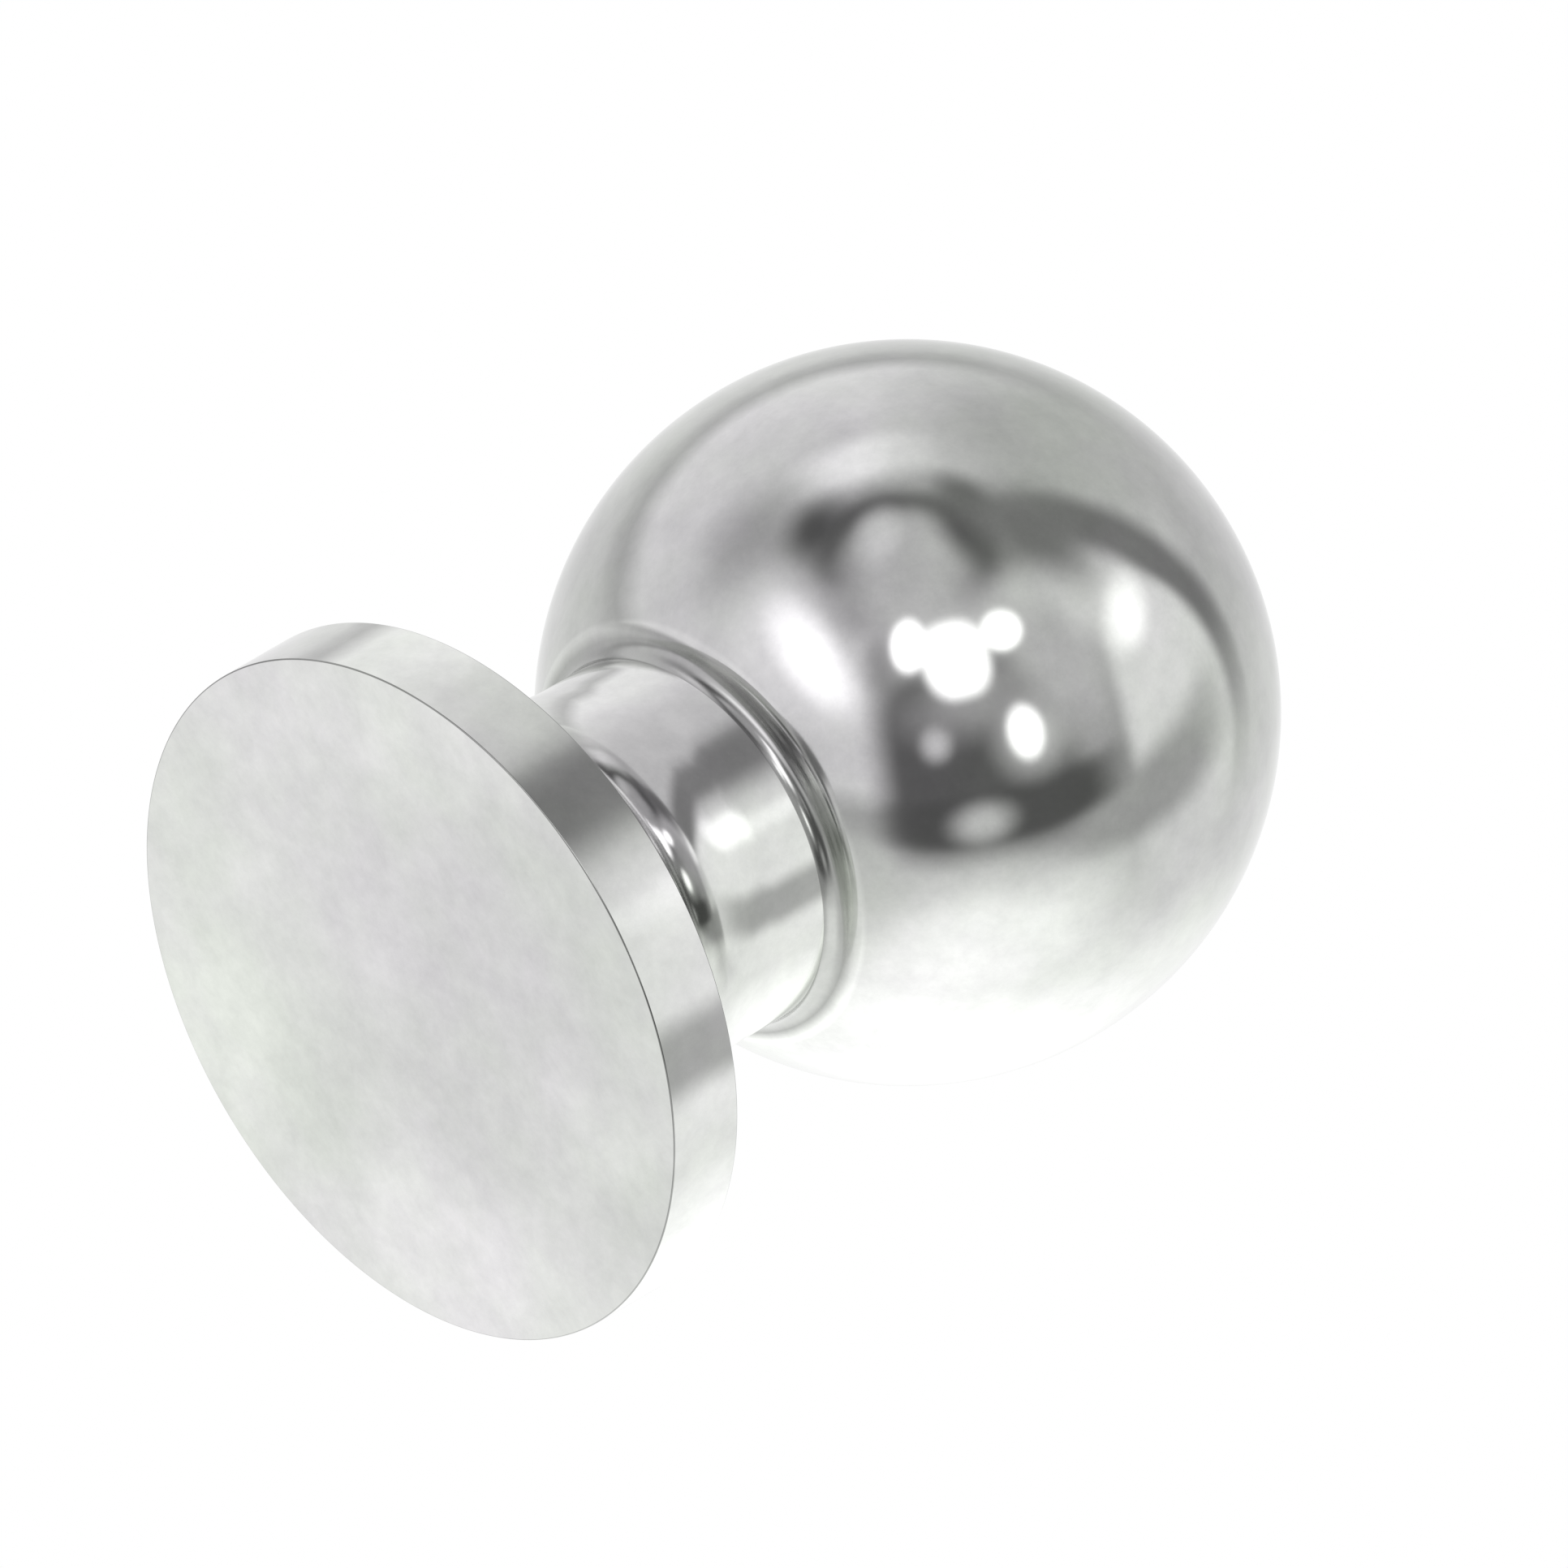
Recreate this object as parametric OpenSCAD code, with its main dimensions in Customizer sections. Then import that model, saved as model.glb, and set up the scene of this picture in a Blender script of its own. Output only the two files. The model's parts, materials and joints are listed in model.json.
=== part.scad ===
// Pivot ball: one turned piece with a ball, a flared neck and a flat round flange.
// Z is the turning axis. The flange's flat face lies at Z = 0 and the ball is on top.

/* [Ball] */
// Diameter of the ball
ball_d = 25; // [20:0.5:40]

/* [Neck] */
// Diameter of the straight part of the neck
neck_d = 13.45; // [10:0.05:15]
// Length of the neck, from the flange's back face to the lip where the ball starts
neck_length = 10.52; // [9.5:0.01:30]
// Radius of the hollow quarter round between the neck and the ball's lip
root_r = 0.75; // [0.3:0.05:1.5]
// Radius of the hollow curve that flares the neck out towards the flange
flare_r = 10.5; // [9:0.5:30]
// Height at which the flare starts, above the flange's back face
flare_h = 7.6; // [2:0.1:8]

/* [Flange] */
// Diameter of the flange
flange_d = 25; // [23:0.5:40]
// Thickness of the flange
flange_t = 3; // [1.5:0.1:8]
// Radius that takes the sharpness off both edges of the flange's rim
edge_r = 0.05; // [0.02:0.01:0.5]

/* [Hidden] */
$fn = 180;
ball_r = ball_d / 2;
neck_r = neck_d / 2;
flange_r = flange_d / 2;
// Radius and height of the ball's lip, where the quarter round has come level
lip_r = neck_r + root_r;
lip_z = flange_t + neck_length;
// Height of the ball's centre, so that its sphere passes through that lip
ball_z = lip_z + sqrt(ball_r ^ 2 - lip_r ^ 2);
// Centre of the flare's circle, level with the end of the straight neck
flare_x = neck_r + flare_r;
flare_z = flange_t + flare_h;

// Half of the flange's section, with both edges of the rim rounded
module flange_section() {
    square([flange_r - edge_r, flange_t]);
    translate([0, edge_r])
        square([flange_r, flange_t - 2 * edge_r]);
    for (z = [edge_r, flange_t - edge_r])
        translate([flange_r - edge_r, z])
            circle(r = edge_r);
}

// Half of the neck's section: a straight stem and a foot hollowed out by the flare's circle
module neck_section() {
    translate([0, flange_t])
        square([neck_r, ball_z - flange_t]);
    difference() {
        translate([0, flange_t])
            square([flare_x, flare_h]);
        translate([flare_x, flare_z])
            circle(r = flare_r);
    }
}

// Half of the ball's section, with its root hollowed out by the quarter round's circle
module ball_section() {
    difference() {
        union() {
            translate([0, ball_z])
                intersection() {
                    circle(r = ball_r);
                    translate([0, -ball_r])
                        square([ball_r, ball_d]);
                }
            translate([0, lip_z - root_r])
                square([neck_r + root_r / 2, root_r]);
        }
        translate([lip_r, lip_z - root_r])
            circle(r = root_r);
    }
}

// The whole section turned about Z, as the piece is turned from one bar
module pivot_ball() {
    color("silver")
        rotate_extrude() {
            flange_section();
            neck_section();
            ball_section();
        }
}

pivot_ball();
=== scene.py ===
"""Pivot ball: one turned steel piece, polished, in a white light tent.

The piece is a closed section turned about Z: a flat flange, a neck that tapers and flares out
towards its foot, and a ball above a small hollow round. All lengths are in metres. The tent's
angles are in degrees, and all others in radians.
"""

import json
import math
from typing import NamedTuple

import bpy
import numpy as np
from bpy.props import FloatProperty, FloatVectorProperty, IntProperty, PointerProperty
from bpy.types import Operator, Panel, PropertyGroup
from mathutils import Matrix, Vector


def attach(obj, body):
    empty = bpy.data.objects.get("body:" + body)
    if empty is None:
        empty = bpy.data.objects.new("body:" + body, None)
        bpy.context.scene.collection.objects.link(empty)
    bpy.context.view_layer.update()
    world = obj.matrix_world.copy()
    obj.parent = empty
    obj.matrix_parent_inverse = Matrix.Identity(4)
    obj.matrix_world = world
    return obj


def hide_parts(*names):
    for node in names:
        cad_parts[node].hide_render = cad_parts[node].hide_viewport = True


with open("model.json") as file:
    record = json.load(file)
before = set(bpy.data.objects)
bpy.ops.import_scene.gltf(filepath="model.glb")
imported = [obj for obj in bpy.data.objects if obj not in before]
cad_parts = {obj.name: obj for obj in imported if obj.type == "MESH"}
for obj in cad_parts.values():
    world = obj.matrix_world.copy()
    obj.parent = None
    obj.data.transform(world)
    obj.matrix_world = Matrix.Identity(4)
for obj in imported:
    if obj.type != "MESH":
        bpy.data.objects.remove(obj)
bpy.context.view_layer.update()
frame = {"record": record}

bl_info = {
    "name": "Pivot Ball",
    "version": (1, 0, 0),
    "blender": (4, 5, 0),
    "location": "3D View > Sidebar > Pivot Ball",
    "description": "Turns a polished steel pivot ball and sets up a light tent around it",
    "category": "Object",
}

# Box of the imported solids, which the turned piece stands for
BALL_MOUNT = next(mount for mount in frame["record"]["mounts"] if mount["name"] == "ball")

# The picture: its width in pixels, and the ball's outline in it
PICTURE_WIDTH = 1932
BALL_PIXEL = (1118.37, 877.91)
BALL_PIXEL_RADIUS = 460.24

# The tent's axes in the part's frame. The part lies on its side in the picture: its turning axis
# is level and points 135 degrees round from the front. The camera stands at the front, at the
# height of an isometric view.
TENT_FRONT = Vector((0.5, -0.5, -math.sqrt(0.5)))
TENT_RIGHT = Vector((0.5, -0.5, math.sqrt(0.5)))
TENT_UP = Vector((-math.sqrt(0.5), -math.sqrt(0.5), 0.0))
ISOMETRIC_HEIGHT = math.atan(math.sqrt(0.5))


class SoftPanel(NamedTuple):
    """One soft-edged panel on the inside of the tent, in degrees as seen from the ball.

    across and above give its middle, counted from the front and from the horizon, and roll turns
    it. tone is its brightness, where 1 is the white of the background. soft is the share of its
    half sizes over which its edge fades, to either side, and corners is 2 for an oval and more for
    a rounded rectangle.
    """

    name: str
    across: float
    above: float
    half_width: float
    half_height: float
    roll: float
    tone: float
    soft: float
    corners: float


# Height above the horizon and tone of the bare tent there, from the white ground to the grey roof
BARE_TONES = (
    (-90, 1.6),
    (-70, 1.65),
    (-60, 1.5),
    (-50, 1.24),
    (-40, 1.0),
    (-30, 0.9),
    (-20, 0.86),
    (-10, 0.82),
    (-6, 0.78),
    (-2, 0.67),
    (3, 0.6),
    (6, 0.72),
    (12, 1.0),
    (40, 0.94),
    (56, 0.82),
    (62, 0.75),
    (70, 0.72),
    (90, 0.7),
)

# Panels in the order in which they cover each other, the later ones in front
TENT_PANELS = (
    SoftPanel("bright roof left", -100, 82, 8, 5, 0, 0.95, 0.8, 2),
    SoftPanel("dark roof right", 115, 73, 11, 6.5, 0, 0.07, 0.9, 2),
    SoftPanel("back window", -166, 57, 18, 8, 0, 1.32, 0.6, 3),
    SoftPanel("grey corner left", -105, 48, 17, 14, 0, 0.57, 0.8, 2),
    SoftPanel("dark corner left", -109, 64, 9, 7, 0, 0.14, 0.8, 2),
    SoftPanel("bright ground front", 31, -45, 25, 19, 0, 1.5, 0.6, 3),
    SoftPanel("grey ground left", -90, -35, 14, 11, 0, 0.93, 0.6, 2),
    SoftPanel("grey wall right", 66, 16, 16, 28, 0, 0.50, 0.6, 4),
    SoftPanel("grey wall back right", 147, 27, 23, 37, 0, 0.63, 0.6, 4),
    SoftPanel("dark corner back right", 140, 67, 8, 5, 0, 0.22, 0.8, 2),
    SoftPanel("light wall right", 74, 45, 14, 14, 0, 0.92, 0.7, 3),
    SoftPanel("dark corner right", 110, 54, 13, 15, 0, 0.25, 0.7, 3),
    SoftPanel("dark pillar right", 119, 22, 7.5, 36, 0, 0.24, 0.6, 5),
    SoftPanel("light opening right", 93.5, -4, 22, 38, 0, 1.0, 0.15, 2.2),
    SoftPanel("glow over the opening", 95, 26, 9, 5.5, 0, 1.75, 0.8, 2),
    SoftPanel("grey ground right", 76, -12, 31, 9.5, 0, 0.5, 0.5, 3),
    SoftPanel("grey over the window", -38, 61, 9, 5, 0, 0.6, 0.8, 2),
    SoftPanel("dark beside the window", -13, 50, 5, 8, 0, 0.48, 0.8, 2),
    SoftPanel("dark front wall", 24, 19, 31, 30, 0, 0.15, 0.22, 5),
    SoftPanel("haze under the lamps", 27, 36, 20, 9, 0, 0.47, 0.8, 2),
    SoftPanel("haze right of the lamps", 62, 36, 12, 19, 0, 0.68, 0.6, 3),
    SoftPanel("dark strip front", 30, 0.2, 35, 7.8, 0, 0.12, 0.3, 4),
    SoftPanel("low glow front", 22, -1, 8, 5.5, 0, 0.75, 0.8, 2),
    SoftPanel("weak spot front", 9.5, 25, 4, 4.5, 0, 0.85, 0.8, 2),
    SoftPanel("left window glow", -55, 43, 25, 14, -12, 1.18, 0.6, 2),
    SoftPanel("left window", -45, 45, 17, 7, -22, 2.2, 0.7, 2),
    SoftPanel("glow round the small lamp", 42, 20, 10, 9, 0, 0.75, 0.8, 2),
    SoftPanel("small lamp", 40, 22.5, 5, 7, 0, 3.0, 0.5, 2),
    SoftPanel("main lamp", 22.5, 49.5, 9.2, 10.5, 0, 3.2, 0.38, 2.6),
    SoftPanel("left lamp", 0.5, 55.5, 5, 7.5, 0, 3.0, 0.4, 2),
    SoftPanel("right lamp", 49.5, 52, 6, 5.3, 0, 3.0, 0.4, 2),
)

# The dark beam round the roof: an oval ring seen from below. Its middle and half sizes are degrees
# from the top, towards the front and to the right, and its thickness is a share of the half sizes.
# Round to the front it fades out, so that it isn't seen over the lamps: it is darkest from one
# angle off the front on, and gone within the other.
BEAM_MIDDLE = 4
BEAM_HALF_DEPTH = 18
BEAM_HALF_WIDTH = 22.5
BEAM_THICKNESS = 0.3
BEAM_TONE = 0.18
BEAM_DARKEST = 95
BEAM_FADED = 20

# Steps along each stretch of the section, in order from the flat face to the top of the ball
FACE_STEPS = 20
EDGE_STEPS = 6
RIM_STEPS = 4
BACK_STEPS = 6
CONE_STEPS = 8
FLARE_STEPS = 32
TAPER_STEPS = 2
BEND_STEPS = 12
NECK_STEPS = 4
ROOT_STEPS = 32
LIP_STEPS = 24
BALL_STEPS = 144

# Half of the height over which the shank's steel turns into the ball's
LIP_BLEND = 0.0001

# Spans of the noises over which the clouds, the mottling and the violet tint come in, and how
# much of the mottling shows
CLOUD_SPAN = (0.62, 0.38)
MOTTLE_SPAN = (0.7, 0.3)
MOTTLE_SHARE = 0.8
VIOLET_SPAN = (0.35, 0.65)

# The floor's depth under the flat face, its rings and the steps round each
FLOOR_DEPTH = 0.00002
FLOOR_RINGS = 12
FLOOR_STEPS = 128

# Nearest and farthest distance that the camera sees
CAMERA_CLIP = (0.001, 10.0)


class PivotBallSizes(PropertyGroup):
    """Sizes of the turned piece."""

    ball_diameter: FloatProperty(
        name="Ball diameter",
        description="Diameter of the ball",
        default=2 * BALL_MOUNT["dims"]["r_mm"] / 1000,
        precision=5,
        unit="LENGTH",
    )
    ball_height: FloatProperty(
        name="Ball height",
        description="Height of the ball's centre above the flange's flat face",
        default=BALL_MOUNT["pos_m"][2],
        precision=5,
        unit="LENGTH",
    )
    neck_diameter: FloatProperty(
        name="Neck diameter",
        description="Diameter of the straight part of the neck",
        default=0.01345,
        precision=5,
        unit="LENGTH",
    )
    root_radius: FloatProperty(
        name="Root radius",
        description="Radius of the hollow round between the neck and the ball's lip",
        default=0.00066,
        precision=6,
        unit="LENGTH",
    )
    root_height: FloatProperty(
        name="Root height",
        description="Distance below the ball's centre at which the hollow round starts",
        default=0.01071,
        precision=6,
        unit="LENGTH",
    )
    lip_radius: FloatProperty(
        name="Lip radius",
        description="Radius of the rounded lip between the hollow and the ball",
        default=0.00125,
        precision=6,
        unit="LENGTH",
    )
    taper_height: FloatProperty(
        name="Taper height",
        description="Height at which the neck starts to widen, above the flange's back face",
        default=0.00766,
        precision=5,
        unit="LENGTH",
    )
    taper_angle: FloatProperty(
        name="Taper angle",
        description="Angle at which the neck widens before the flare",
        default=math.radians(5),
        unit="ROTATION",
    )
    bend_radius: FloatProperty(
        name="Bend radius",
        description="Radius of the gentle bend between the straight neck and the taper",
        default=0.007,
        precision=5,
        unit="LENGTH",
    )
    flare_height: FloatProperty(
        name="Flare height",
        description="Height at which the flare starts, above the flange's back face",
        default=0.00654,
        precision=5,
        unit="LENGTH",
    )
    flare_radius: FloatProperty(
        name="Flare radius",
        description="Radius of the hollow curve between the taper and the foot",
        default=0.0075,
        precision=5,
        unit="LENGTH",
    )
    foot_diameter: FloatProperty(
        name="Foot diameter",
        description="Diameter of the neck's foot on the flange's back face",
        default=0.01997,
        precision=5,
        unit="LENGTH",
    )
    flange_diameter: FloatProperty(
        name="Flange diameter",
        description="Diameter of the flange",
        default=0.025,
        precision=5,
        unit="LENGTH",
    )
    flange_thickness: FloatProperty(
        name="Flange thickness",
        description="Thickness of the flange",
        default=0.003,
        precision=5,
        unit="LENGTH",
    )
    edge_radius: FloatProperty(
        name="Edge radius",
        description="Radius of both edges of the flange's rim",
        default=0.00005,
        precision=6,
        unit="LENGTH",
    )
    steps_round: IntProperty(
        name="Steps round",
        description="Number of faces round the turning axis",
        default=256,
    )


class PivotBallFinish(PropertyGroup):
    """Colours and patterns of the polished steel."""

    shank_colour: FloatVectorProperty(
        name="Shank steel",
        description="Colour of the flange and the neck where the polish is bright",
        subtype="COLOR",
        size=3,
        default=(0.935, 0.939, 0.927),
    )
    ball_colour: FloatVectorProperty(
        name="Ball steel",
        description="Colour of the ball where the polish is bright",
        subtype="COLOR",
        size=3,
        default=(0.738, 0.74, 0.735),
    )
    cloud_colour: FloatVectorProperty(
        name="Cloud",
        description="What the clouds in the polish leave of the colour under them",
        subtype="COLOR",
        size=3,
        default=(0.81, 0.81, 0.815),
    )
    green_tint: FloatVectorProperty(
        name="Green tint",
        description="Tint of the greenish places",
        subtype="COLOR",
        size=3,
        default=(0.968, 1.0, 0.945),
    )
    violet_tint: FloatVectorProperty(
        name="Violet tint",
        description="Tint of the violet places",
        subtype="COLOR",
        size=3,
        default=(0.988, 0.971, 0.992),
    )
    # Painted shade: a dark line on the rounded edges of the rim, darkened into the colour
    edge_shade_colour: FloatVectorProperty(
        name="Broken edge",
        description="What the unpolished edges of the rim leave of the colour",
        subtype="COLOR",
        size=3,
        default=(0.4, 0.4, 0.4),
    )
    # Painted shade in the hollow under the ball: the colour is darkened there, where shade falls
    hollow_shade_colour: FloatVectorProperty(
        name="Hollow",
        description="What the unpolished hollow under the ball leaves of the colour",
        subtype="COLOR",
        size=3,
        default=(0.56, 0.56, 0.56),
    )
    hollow_blur: FloatProperty(
        name="Hollow blur",
        description="Roughness that the unpolished hollow under the ball adds",
        default=0.1,
        subtype="FACTOR",
    )
    cloud_shift: FloatVectorProperty(
        name="Cloud shift",
        description="How far the broad clouds are shifted on the piece",
        subtype="TRANSLATION",
        unit="LENGTH",
        size=3,
        default=(0.0, 0.01, 0.02),
    )
    tint_shift: FloatVectorProperty(
        name="Tint shift",
        description="How far the greenish and violet places are shifted on the piece",
        subtype="TRANSLATION",
        unit="LENGTH",
        size=3,
        default=(0.06, 0.0, 0.04),
    )
    cloud_size: FloatProperty(
        name="Cloud size",
        description="Size of the broad clouds in the polish",
        default=0.013,
        precision=5,
        unit="LENGTH",
    )
    tint_size: FloatProperty(
        name="Tint size",
        description="Size of the greenish and violet places",
        default=0.0104,
        precision=5,
        unit="LENGTH",
    )
    mottle_size: FloatProperty(
        name="Mottle size",
        description="Size of the fine mottling in the polish",
        default=0.0015,
        precision=5,
        unit="LENGTH",
    )
    blur_low: FloatProperty(
        name="Sharpest blur",
        description="Roughness where the polish is best",
        default=0.06,
        subtype="FACTOR",
    )
    blur_high: FloatProperty(
        name="Widest blur",
        description="Roughness where the polish is dullest",
        default=0.09,
        subtype="FACTOR",
    )


class PivotBallStage(PropertyGroup):
    """The light tent, the floor and the camera."""

    tent_radius: FloatProperty(
        name="Tent radius",
        description="Radius of the light tent that the steel mirrors",
        default=0.6,
        unit="LENGTH",
    )
    floor_radius: FloatProperty(
        name="Floor radius",
        description="Distance at which the floor has faded into the background",
        default=0.055,
        unit="LENGTH",
    )
    fade_start: FloatProperty(
        name="Fade start",
        description="Share of the floor's radius at which it starts to fade",
        default=0.3,
        subtype="FACTOR",
    )
    floor_colour: FloatVectorProperty(
        name="Floor",
        description="Colour of the pale floor",
        subtype="COLOR",
        size=3,
        default=(0.9, 0.9, 0.9),
    )
    lamp_power: FloatProperty(
        name="Lamp power",
        description="Power of the soft lamp over the floor, in watts",
        default=0.6,
        unit="POWER",
    )
    lamp_size: FloatProperty(
        name="Lamp size",
        description="Length of the soft lamp's sides",
        default=0.3,
        unit="LENGTH",
    )
    lamp_height: FloatProperty(
        name="Lamp height",
        description="Height of the soft lamp above the floor",
        default=0.4,
        unit="LENGTH",
    )
    camera_distance: FloatProperty(
        name="Camera distance",
        description="Distance of the camera from the picture plane through the ball",
        default=0.2,
        unit="LENGTH",
    )


def arc(centre, radius, start, end, steps):
    """Points (radius, height) of a circle's arc in the section, and its outward directions.

    A point is the centre plus the radius times the cosine and sine of an angle that runs evenly
    from start to end, both in radians.
    """
    angle = np.linspace(start, end, steps + 1)
    direction = np.stack([np.cos(angle), np.sin(angle)], axis=1)
    return np.asarray(centre) + radius * direction, direction


def line(start, end, direction, steps):
    """Points evenly spaced from start to end in the section, all facing one direction."""
    share = np.linspace(0.0, 1.0, steps + 1)[:, None]
    points = np.asarray(start) * (1 - share) + np.asarray(end) * share
    return points, np.broadcast_to(np.asarray(direction, dtype=float), points.shape)


def turned_section(sizes):
    """The piece's half section, from the middle of the flat face to the top of the ball.

    From the flange up, the neck is a cone, a hollow flare, a slight taper, a gentle bend and a
    straight stem. The cone is the line through the foot that touches the flare's arc, so its angle
    comes from the foot's place as seen from the arc's middle. Under the ball a hollow arc turns
    into a rounded lip. The lip's arc touches the ball from inside and the hollow's arc from
    outside, so its middle is where two circles about their middles meet.

    Returns the points (radius, height), one per ring, and for each stretch between two rings the
    outward direction at its lower and upper end. Straight stretches face squarely outwards and
    arcs face along their radii, so that the foot of the neck stays sharp. Also returns the marks
    of the rim's edges and of the hollow under the ball, and the height at which the ball starts.
    """
    ball_radius = sizes.ball_diameter / 2
    neck_radius = sizes.neck_diameter / 2
    flange_radius = sizes.flange_diameter / 2
    back = sizes.flange_thickness
    edge = sizes.edge_radius
    foot_radius = sizes.foot_diameter / 2
    taper_top = back + sizes.taper_height
    flare_top = back + sizes.flare_height
    flare_top_radius = neck_radius + (taper_top - flare_top) * math.tan(sizes.taper_angle)
    taper_way = (math.cos(sizes.taper_angle), math.sin(sizes.taper_angle))
    bend_centre = (
        neck_radius + sizes.bend_radius,
        taper_top + sizes.bend_radius * math.tan(sizes.taper_angle / 2),
    )
    flare_centre = (
        flare_top_radius + sizes.flare_radius * taper_way[0],
        flare_top + sizes.flare_radius * taper_way[1],
    )
    off_foot = (flare_centre[0] - foot_radius, flare_centre[1] - back)
    foot_angle = math.asin(sizes.flare_radius / math.hypot(*off_foot)) - math.atan2(*off_foot)
    foot_way = (math.cos(foot_angle), math.sin(foot_angle))
    root_centre = (neck_radius + sizes.root_radius, sizes.ball_height - sizes.root_height)
    inset = ball_radius - sizes.lip_radius
    apart = sizes.root_radius + sizes.lip_radius
    away = math.hypot(root_centre[0], sizes.root_height)
    lip_angle = math.atan2(-sizes.root_height, root_centre[0])
    lip_angle += math.acos((away**2 + inset**2 - apart**2) / (2 * away * inset))
    lip_centre = (inset * math.cos(lip_angle), sizes.ball_height + inset * math.sin(lip_angle))
    turn_angle = math.atan2(lip_centre[1] - root_centre[1], lip_centre[0] - root_centre[0])
    lip_height = sizes.ball_height + ball_radius * math.sin(lip_angle)

    taper_turn = math.pi + sizes.taper_angle
    flare, flare_way = arc(
        flare_centre, sizes.flare_radius, math.pi + foot_angle, taper_turn, FLARE_STEPS
    )
    bend, bend_way = arc(bend_centre, sizes.bend_radius, taper_turn, math.pi, BEND_STEPS)
    root, root_way = arc(root_centre, sizes.root_radius, math.pi, turn_angle, ROOT_STEPS)
    stretches = (
        line((0, 0), (flange_radius - edge, 0), (0, -1), FACE_STEPS),
        arc((flange_radius - edge, edge), edge, -math.pi / 2, 0, EDGE_STEPS),
        line((flange_radius, edge), (flange_radius, back - edge), (1, 0), RIM_STEPS),
        arc((flange_radius - edge, back - edge), edge, 0, math.pi / 2, EDGE_STEPS),
        line((flange_radius - edge, back), (foot_radius, back), (0, 1), BACK_STEPS),
        line((foot_radius, back), flare[0], foot_way, CONE_STEPS),
        (flare, -flare_way),
        line((flare_top_radius, flare_top), bend[0], taper_way, TAPER_STEPS),
        (bend, -bend_way),
        line(bend[-1], (neck_radius, root_centre[1]), (1, 0), NECK_STEPS),
        (root, -root_way),
        arc(lip_centre, sizes.lip_radius, turn_angle - math.pi, lip_angle, LIP_STEPS),
        arc((0, sizes.ball_height), ball_radius, lip_angle, math.pi / 2, BALL_STEPS),
    )
    points = np.concatenate([stretches[0][0][:1]] + [part[1:] for part, _ in stretches])
    points[-1, 0] = 0.0
    facing = np.concatenate([np.stack([way[:-1], way[1:]], axis=1) for _, way in stretches])
    # Marks the rounded edges of the rim, where the material paints a dark line of shade
    near_rim = flange_radius - points[:, 0] < edge
    off_sides = np.minimum(np.abs(points[:, 1]), np.abs(points[:, 1] - back))
    edge_shade_mark = near_rim & (off_sides > 0) & (off_sides < edge) & (points[:, 0] < flange_radius)
    # Marks the hollow under the ball, fading out over the lip; it darkens the colour as painted
    # shade and adds roughness
    hollow_steps = ROOT_STEPS + LIP_STEPS
    to_ball = np.arange(hollow_steps)[::-1]
    hollow_mark = np.zeros(len(points))
    hollow_mark[-BALL_STEPS - hollow_steps : -BALL_STEPS] = np.minimum(1.0, to_ball / LIP_STEPS)
    return points, facing, {"edge": edge_shade_mark, "hollow": hollow_mark}, lip_height


def turned_grid(points, steps):
    """Turns a section about Z: every ring is the section's point at evenly spaced angles.

    Returns the grid of places, the angles, the mask of the places that are vertices, and the
    number of each place's vertex. A ring of radius zero is a pole, with one vertex for all its
    places.
    """
    angle = np.arange(steps) * (2 * math.pi / steps)
    radius = points[:, 0, None]
    places = np.stack(
        [
            radius * np.cos(angle),
            radius * np.sin(angle),
            np.broadcast_to(points[:, 1, None], (len(points), steps)),
        ],
        axis=2,
    )
    own = np.broadcast_to(radius > 0, (len(points), steps)).copy()
    own[:, 0] = True
    number = np.cumsum(own.ravel()).reshape(own.shape) - 1
    number = np.where(radius > 0, number, number[:, :1])
    return places, angle, own, number


def turned_mesh(name, points, steps, facing=None, axes=None):
    """A closed mesh of a section turned about Z, or about the last of the given axes.

    Each face joins two neighbouring rings over one step; at a pole it is a triangle. With facing
    given, the corners take the section's own outward directions turned to their angle. Returns
    the mesh and the mask of the grid places that are vertices.
    """
    places, angle, own, number = turned_grid(points, steps)
    ring, column = np.meshgrid(np.arange(len(points) - 1), np.arange(steps), indexing="ij")
    corner_ring = np.stack([ring, ring, ring + 1, ring + 1], axis=2)
    corner_column = np.stack([column, column + 1, column + 1, column], axis=2) % steps
    kept = np.ones(corner_ring.shape, dtype=bool)
    kept[points[:-1, 0] == 0, :, 1] = False
    kept[points[1:, 0] == 0, :, 3] = False
    sides = kept.sum(axis=2).ravel()
    vertices = places[own]
    if axes is not None:
        vertices = vertices @ np.array(axes)

    mesh = bpy.data.meshes.new(name)
    mesh.vertices.add(len(vertices))
    mesh.vertices.foreach_set("co", vertices.astype(np.float32).ravel())
    mesh.loops.add(int(sides.sum()))
    corners = number[corner_ring, corner_column][kept]
    mesh.loops.foreach_set("vertex_index", corners.astype(np.int32))
    mesh.polygons.add(len(sides))
    mesh.polygons.foreach_set("loop_start", (np.cumsum(sides) - sides).astype(np.int32))
    mesh.polygons.foreach_set("use_smooth", np.ones(len(sides), dtype=bool))
    mesh.update(calc_edges=True)
    if mesh.validate():
        raise RuntimeError(f"{name}: the turned mesh has faulty faces")
    if facing is not None:
        end = np.broadcast_to(np.array([0, 0, 1, 1]), corner_ring.shape)
        way = facing[np.broadcast_to(ring[..., None], end.shape), end]
        turn = angle[corner_column]
        normals = np.stack(
            [way[..., 0] * np.cos(turn), way[..., 0] * np.sin(turn), way[..., 1]], axis=3
        )
        mesh.normals_split_custom_set(normals[kept].tolist())
    return mesh, own


def add_mark(mesh, name, values):
    """Stores one number for each vertex on the mesh, for its material to read."""
    mark = mesh.attributes.new(name, "FLOAT", "POINT")
    mark.data.foreach_set("value", values.astype(np.float32))


def add_object(name, mesh, material):
    """Links a mesh to the scene as an object at the origin, with its material."""
    mesh.materials.append(material)
    made = bpy.data.objects.new(name, mesh)
    bpy.context.scene.collection.objects.link(made)
    return made


def new_material(name):
    """A material with an empty node tree, and its output node."""
    material = bpy.data.materials.new(name)
    material.use_nodes = True
    material.node_tree.nodes.clear()
    return material, material.node_tree.nodes.new("ShaderNodeOutputMaterial")


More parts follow.
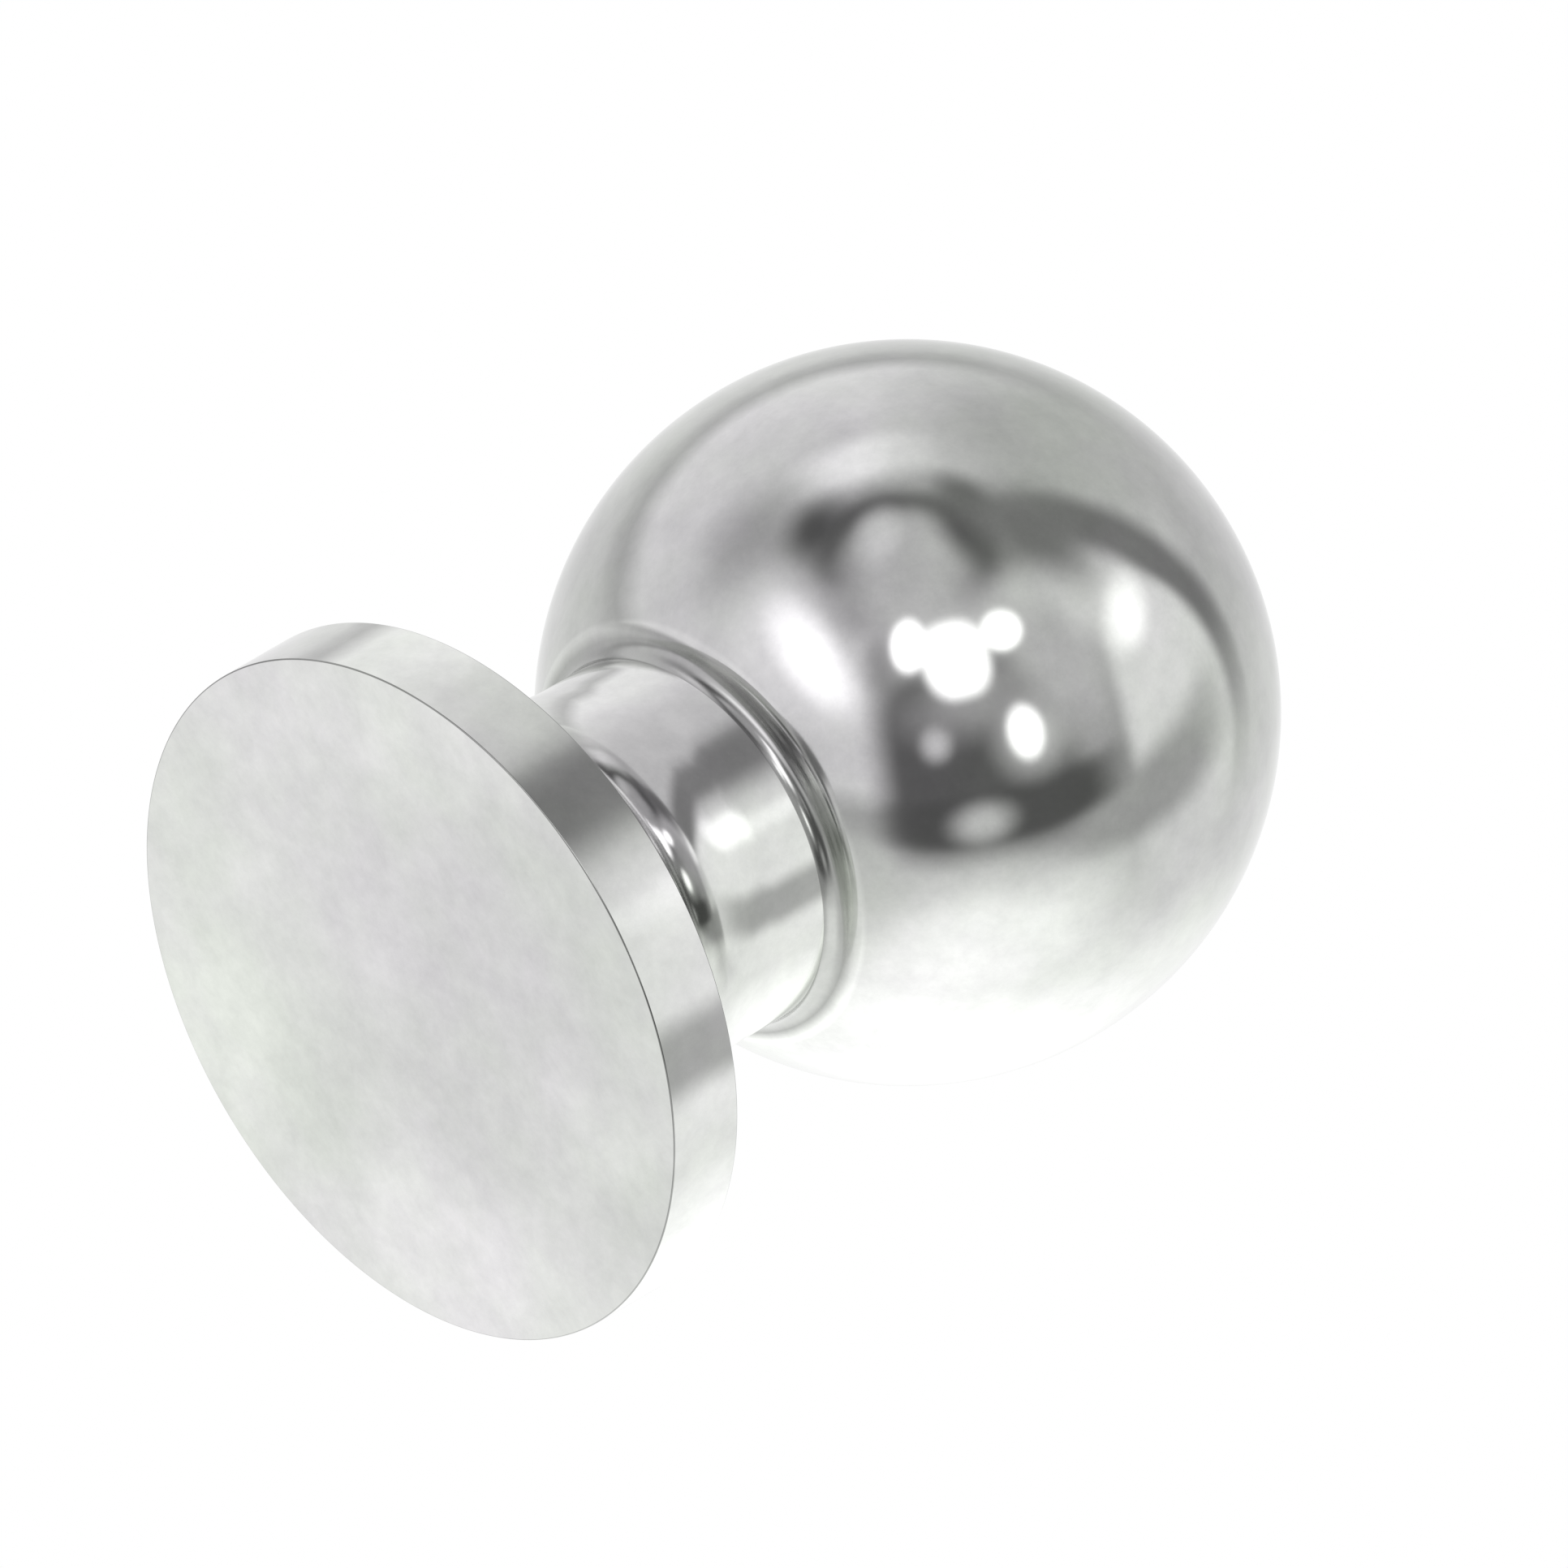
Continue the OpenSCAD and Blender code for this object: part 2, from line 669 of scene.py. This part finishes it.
def shift_node(tree, coordinates, shift):
    """The coordinates moved by a shift, which brings another part of a pattern onto the piece."""
    moved = tree.nodes.new("ShaderNodeMapping")
    moved.inputs["Location"].default_value = shift
    tree.links.new(coordinates, moved.inputs["Vector"])
    return moved.outputs["Vector"]


def noise_node(tree, coordinates, size, detail, roughness):
    """Fractal noise whose largest features are about the given size across."""
    noise = tree.nodes.new("ShaderNodeTexNoise")
    noise.inputs["Scale"].default_value = 1 / size
    noise.inputs["Detail"].default_value = detail
    noise.inputs["Roughness"].default_value = roughness
    tree.links.new(coordinates, noise.inputs["Vector"])
    return noise.outputs["Fac"]


def mark_node(tree, name):
    """Reads one of the mesh's own marks."""
    mark = tree.nodes.new("ShaderNodeAttribute")
    mark.attribute_name = name
    return mark.outputs["Fac"]


def spread_node(tree, value, span, result):
    """Carries a span of a value over to the span of the result, and holds it at both ends."""
    spread = tree.nodes.new("ShaderNodeMapRange")
    spread.inputs["From Min"].default_value, spread.inputs["From Max"].default_value = span
    spread.inputs["To Min"].default_value, spread.inputs["To Max"].default_value = result
    tree.links.new(value, spread.inputs["Value"])
    return spread.outputs["Result"]


def colour_node(tree, blend, first, second, share):
    """Mixes two colours by a share. Each is a plain colour or another node's output."""
    mix = tree.nodes.new("ShaderNodeMix")
    mix.data_type = "RGBA"
    mix.blend_type = blend
    # A mix node has sockets of one name for each kind of data, so the colours go by number
    for socket, value in ((mix.inputs[6], first), (mix.inputs[7], second), (mix.inputs[0], share)):
        if isinstance(value, bpy.types.NodeSocket):
            tree.links.new(value, socket)
        elif isinstance(value, float):
            socket.default_value = value
        else:
            socket.default_value = (*value, 1.0)
    return mix.outputs[2]


def polished_steel(finish, lip_height):
    """Bright steel whose polish is clouded and faintly tinted, a little duller on the ball.

    Broad clouds and a fine mottling darken the colour, a third noise drifts between the tints,
    and the mesh's own marks show where shade is painted into the colour: a dark line on the edges
    of the rim, and the hollow under the ball, which also mirrors less sharply.
    """
    material, output = new_material("polished_steel")
    tree = material.node_tree
    coordinates = tree.nodes.new("ShaderNodeTexCoord").outputs["Object"]
    shader = tree.nodes.new("ShaderNodeBsdfPrincipled")
    shader.inputs["Metallic"].default_value = 1.0

    cloud_place = shift_node(tree, coordinates, finish.cloud_shift)
    tint_place = shift_node(tree, coordinates, finish.tint_shift)
    clouds = noise_node(tree, cloud_place, finish.cloud_size, detail=2.0, roughness=0.5)
    mottle = noise_node(tree, coordinates, finish.mottle_size, detail=7.0, roughness=0.75)
    drift = noise_node(tree, tint_place, finish.tint_size, detail=4.0, roughness=0.6)
    # Marks of the painted shade on the rim's edges and in the hollow under the ball
    edge = mark_node(tree, "edge")
    hollow = mark_node(tree, "hollow")

    height = tree.nodes.new("ShaderNodeSeparateXYZ")
    tree.links.new(coordinates, height.inputs["Vector"])
    lip_span = (lip_height - LIP_BLEND, lip_height + LIP_BLEND)
    on_ball = spread_node(tree, height.outputs["Z"], lip_span, (0.0, 1.0))
    clouded = spread_node(tree, clouds, CLOUD_SPAN, (0.0, 1.0))
    mottled = spread_node(tree, mottle, MOTTLE_SPAN, (0.0, MOTTLE_SHARE))
    violet = spread_node(tree, drift, VIOLET_SPAN, (0.0, 1.0))
    tint = colour_node(tree, "MIX", finish.green_tint, finish.violet_tint, violet)
    colour = colour_node(tree, "MIX", finish.shank_colour, finish.ball_colour, on_ball)
    # Clouds, mottling and tint are the steel's own; the rim's edges and the hollow get painted
    # shade
    for left, share in (
        (finish.cloud_colour, clouded),
        (finish.cloud_colour, mottled),
        (tint, 1.0),
        (finish.edge_shade_colour, edge),
        (finish.hollow_shade_colour, hollow),
    ):
        colour = colour_node(tree, "MULTIPLY", colour, left, share)
    tree.links.new(colour, shader.inputs["Base Color"])

    polish = spread_node(tree, mottle, MOTTLE_SPAN, (finish.blur_low, finish.blur_high))
    matt = spread_node(tree, hollow, (0.0, 1.0), (0.0, finish.hollow_blur))
    blur = tree.nodes.new("ShaderNodeMath")
    blur.operation = "ADD"
    tree.links.new(polish, blur.inputs[0])
    tree.links.new(matt, blur.inputs[1])
    tree.links.new(blur.outputs["Value"], shader.inputs["Roughness"])
    tree.links.new(shader.outputs["BSDF"], output.inputs["Surface"])
    return material


def smooth_fall(value, start, end):
    """Falls from 1 at start to 0 at end along a cubic with level ends."""
    share = np.clip((value - end) / (start - end), 0.0, 1.0)
    return share * share * (3 - 2 * share)


def tent_way(across, above):
    """Unit direction in the tent's own axes: front, right and up."""
    across, above = np.radians(across), np.radians(above)
    level = np.cos(above)
    return np.stack([level * np.cos(across), level * np.sin(across), np.sin(above)], axis=-1)


def panel_cover(ways, panel):
    """How much of each direction a panel covers, from 0 to 1.

    The direction is measured across and above the panel's middle, turned by the panel's roll and
    divided by its half sizes. The root of the summed powers of both is 1 along the panel's edge,
    an oval or a rounded rectangle, and the cover falls smoothly from 1 to 0 across that edge.
    """
    middle = tent_way(panel.across, panel.above)
    east = tent_way(panel.across + 90, 0)
    north = tent_way(panel.across, panel.above + 90)
    across = np.degrees(np.arctan2(ways @ east, ways @ middle))
    above = np.degrees(np.arcsin(np.clip(ways @ north, -1, 1)))
    roll = math.radians(panel.roll)
    along = across * math.cos(roll) + above * math.sin(roll)
    beside = above * math.cos(roll) - across * math.sin(roll)
    along, beside = np.abs(along / panel.half_width), np.abs(beside / panel.half_height)
    reach = (along**panel.corners + beside**panel.corners) ** (1 / panel.corners)
    return smooth_fall(reach, 1 - panel.soft, 1 + panel.soft)


def tent_tones(across, above):
    """Brightness of the tent in each direction.

    The bare tent's tone goes by height alone. The beam is an oval ring about the top with a
    bell-shaped section, and each panel then covers what is behind it.
    """
    ways = tent_way(across, above)
    tone = np.interp(above, *np.transpose(BARE_TONES))
    to_front = (90 - above) * np.cos(np.radians(across)) - BEAM_MIDDLE
    to_right = (90 - above) * np.sin(np.radians(across))
    reach = np.hypot(to_front / BEAM_HALF_DEPTH, to_right / BEAM_HALF_WIDTH)
    beam = np.exp(-(((reach - 1) / BEAM_THICKNESS) ** 2))
    beam *= smooth_fall(np.abs(across), BEAM_DARKEST, BEAM_FADED)
    tone = tone + (BEAM_TONE - tone) * beam
    for panel in TENT_PANELS:
        tone = tone + (panel.tone - tone) * panel_cover(ways, panel)
    return tone


def tent_material():
    """Glows as bright as the mesh's own tone says."""
    material, output = new_material("tent_cloth")
    material.cycles.emission_sampling = "NONE"
    tree = material.node_tree
    glow = tree.nodes.new("ShaderNodeEmission")
    tree.links.new(mark_node(tree, "tone"), glow.inputs["Strength"])
    tree.links.new(glow.outputs["Emission"], output.inputs["Surface"])
    return material


def add_tent(stage, ball_height):
    """The light tent: a sphere about the ball's centre that the camera doesn't see.

    The sphere is half a circle turned about the tent's upright axis, one degree to a step.
    """
    above = np.arange(-90, 91, 1.0)
    section = stage.tent_radius * np.stack(
        [np.cos(np.radians(above)), np.sin(np.radians(above))], axis=1
    )
    section[[0, -1], 0] = 0.0
    mesh, own = turned_mesh("tent", section, 360, axes=(TENT_FRONT, TENT_RIGHT, TENT_UP))
    mesh.transform(Matrix.Translation((0.0, 0.0, ball_height)))
    across = np.broadcast_to(np.arange(360.0), own.shape)
    across = np.where(across > 180, across - 360, across)[own]
    above = np.broadcast_to(above[:, None], own.shape)[own]
    add_mark(mesh, "tone", tent_tones(across, above))
    tent = add_object("tent", mesh, tent_material())
    tent.visible_camera = False
    return tent


def floor_material(stage):
    """Pale matt floor that fades out with distance and is only there from above."""
    material, output = new_material("pale_floor")
    tree = material.node_tree
    coordinates = tree.nodes.new("ShaderNodeTexCoord").outputs["Object"]
    reach = tree.nodes.new("ShaderNodeVectorMath")
    reach.operation = "LENGTH"
    tree.links.new(coordinates, reach.inputs[0])
    fade_span = (stage.fade_start * stage.floor_radius, stage.floor_radius)
    fade = spread_node(tree, reach.outputs["Value"], fade_span, (1.0, 0.0))
    backfacing = tree.nodes.new("ShaderNodeNewGeometry").outputs["Backfacing"]
    front = spread_node(tree, backfacing, (0.0, 1.0), (1.0, 0.0))
    solid = tree.nodes.new("ShaderNodeMath")
    solid.operation = "MULTIPLY"
    tree.links.new(fade, solid.inputs[0])
    tree.links.new(front, solid.inputs[1])
    clear = tree.nodes.new("ShaderNodeBsdfTransparent")
    matt = tree.nodes.new("ShaderNodeBsdfDiffuse")
    matt.inputs["Color"].default_value = (*stage.floor_colour, 1.0)
    mix = tree.nodes.new("ShaderNodeMixShader")
    tree.links.new(solid.outputs["Value"], mix.inputs["Fac"])
    tree.links.new(clear.outputs["BSDF"], mix.inputs[1])
    tree.links.new(matt.outputs["BSDF"], mix.inputs[2])
    tree.links.new(mix.outputs["Shader"], output.inputs["Surface"])
    return material


def add_floor(stage):
    """The floor: a flat disc just under the flange's face, made of evenly spaced rings about Z.

    The steel doesn't mirror it, and it throws no shadow.
    """
    rings = np.linspace(stage.floor_radius, 0.0, FLOOR_RINGS + 1)
    section = np.stack([rings, np.full(len(rings), -FLOOR_DEPTH)], axis=1)
    mesh, _ = turned_mesh("floor", section, FLOOR_STEPS)
    floor = add_object("floor", mesh, floor_material(stage))
    floor.visible_glossy = False
    floor.visible_shadow = False
    return floor


def add_lamp(stage):
    """A soft square lamp straight above, which lights the floor and isn't mirrored."""
    data = bpy.data.lights.new("softbox", "AREA")
    data.shape = "SQUARE"
    data.size = stage.lamp_size
    data.energy = stage.lamp_power
    lamp = bpy.data.objects.new("softbox", data)
    bpy.context.scene.collection.objects.link(lamp)
    lamp.location = (0.0, 0.0, stage.lamp_height)
    lamp.visible_glossy = False
    return lamp


def add_camera(sizes, stage):
    """A camera without perspective that sees the ball where the picture shows it.

    The picture is as many ball radii wide as it has pixels for each, and the camera is set aside
    from the ball's centre by the ball's distance from the middle of the picture.
    """
    pixel = sizes.ball_diameter / 2 / BALL_PIXEL_RADIUS
    back = TENT_FRONT * math.cos(ISOMETRIC_HEIGHT) + TENT_UP * math.sin(ISOMETRIC_HEIGHT)
    up = back.cross(TENT_RIGHT)
    data = bpy.data.cameras.new("camera")
    data.type = "ORTHO"
    data.ortho_scale = PICTURE_WIDTH * pixel
    data.clip_start, data.clip_end = CAMERA_CLIP
    camera = bpy.data.objects.new("camera", data)
    bpy.context.scene.collection.objects.link(camera)
    place = (
        Vector((0.0, 0.0, sizes.ball_height))
        + TENT_RIGHT * ((PICTURE_WIDTH / 2 - BALL_PIXEL[0]) * pixel)
        + up * ((BALL_PIXEL[1] - PICTURE_WIDTH / 2) * pixel)
        + back * stage.camera_distance
    )
    turn = Matrix((TENT_RIGHT, up, back)).transposed().to_4x4()
    camera.matrix_world = Matrix.Translation(place) @ turn
    bpy.context.scene.camera = camera
    return camera


def set_world():
    """A plain white background."""
    world = bpy.data.worlds.new("white")
    world.use_nodes = True
    world.node_tree.nodes["Background"].inputs["Color"].default_value = (1.0, 1.0, 1.0, 1.0)
    world.node_tree.nodes["Background"].inputs["Strength"].default_value = 1.0
    bpy.context.scene.world = world


class PIVOTBALL_OT_turn(Operator):
    """Turn the ball, neck and flange in one piece and polish it"""

    bl_idname = "pivot_ball.turn"
    bl_label = "Turn Pivot Ball"

    def execute(self, context):
        """Builds the turned mesh, gives it its finish and ties it to the frame."""
        sizes, finish = context.scene.pivot_ball_sizes, context.scene.pivot_ball_finish
        points, facing, marks, lip_height = turned_section(sizes)
        mesh, own = turned_mesh("turned_pivot_ball", points, sizes.steps_round, facing)
        for name, mark in marks.items():
            add_mark(mesh, name, np.broadcast_to(mark[:, None], own.shape)[own])
        piece = add_object("turned_pivot_ball", mesh, polished_steel(finish, lip_height))
        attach(piece, "root")
        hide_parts("pivot_ball")
        return {"FINISHED"}


class PIVOTBALL_OT_stage(Operator):
    """Set up the white background, the light tent, the floor and the camera"""

    bl_idname = "pivot_ball.stage"
    bl_label = "Set Up Stage"

    def execute(self, context):
        """Builds the stage around the piece's sizes."""
        sizes, stage = context.scene.pivot_ball_sizes, context.scene.pivot_ball_stage
        context.scene.view_settings.view_transform = "Standard"
        set_world()
        add_tent(stage, sizes.ball_height)
        add_floor(stage)
        add_lamp(stage)
        add_camera(sizes, stage)
        return {"FINISHED"}


class PIVOTBALL_PT_sidebar(Panel):
    """Sizes, finish and stage of the pivot ball"""

    bl_idname = "PIVOTBALL_PT_sidebar"
    bl_label = "Pivot Ball"
    bl_space_type = "VIEW_3D"
    bl_region_type = "UI"
    bl_category = "Pivot Ball"

    def draw(self, context):
        """Lists each group of values above the operator that uses it."""
        for group, operator in (
            (context.scene.pivot_ball_sizes, None),
            (context.scene.pivot_ball_finish, PIVOTBALL_OT_turn),
            (context.scene.pivot_ball_stage, PIVOTBALL_OT_stage),
        ):
            column = self.layout.column(align=True)
            for name in group.__annotations__:
                column.prop(group, name)
            if operator:
                column.operator(operator.bl_idname)


CLASSES = (
    PivotBallSizes,
    PivotBallFinish,
    PivotBallStage,
    PIVOTBALL_OT_turn,
    PIVOTBALL_OT_stage,
    PIVOTBALL_PT_sidebar,
)


def register():
    """Registers the classes and hangs the groups of values on the scene."""
    for cls in CLASSES:
        bpy.utils.register_class(cls)
    bpy.types.Scene.pivot_ball_sizes = PointerProperty(type=PivotBallSizes)
    bpy.types.Scene.pivot_ball_finish = PointerProperty(type=PivotBallFinish)
    bpy.types.Scene.pivot_ball_stage = PointerProperty(type=PivotBallStage)


def unregister():
    """Takes the groups of values and the classes away again."""
    del bpy.types.Scene.pivot_ball_stage
    del bpy.types.Scene.pivot_ball_finish
    del bpy.types.Scene.pivot_ball_sizes
    for cls in reversed(CLASSES):
        bpy.utils.unregister_class(cls)


def main():
    """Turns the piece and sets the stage."""
    register()
    bpy.ops.pivot_ball.turn()
    bpy.ops.pivot_ball.stage()


if __name__ == "__main__":
    main()
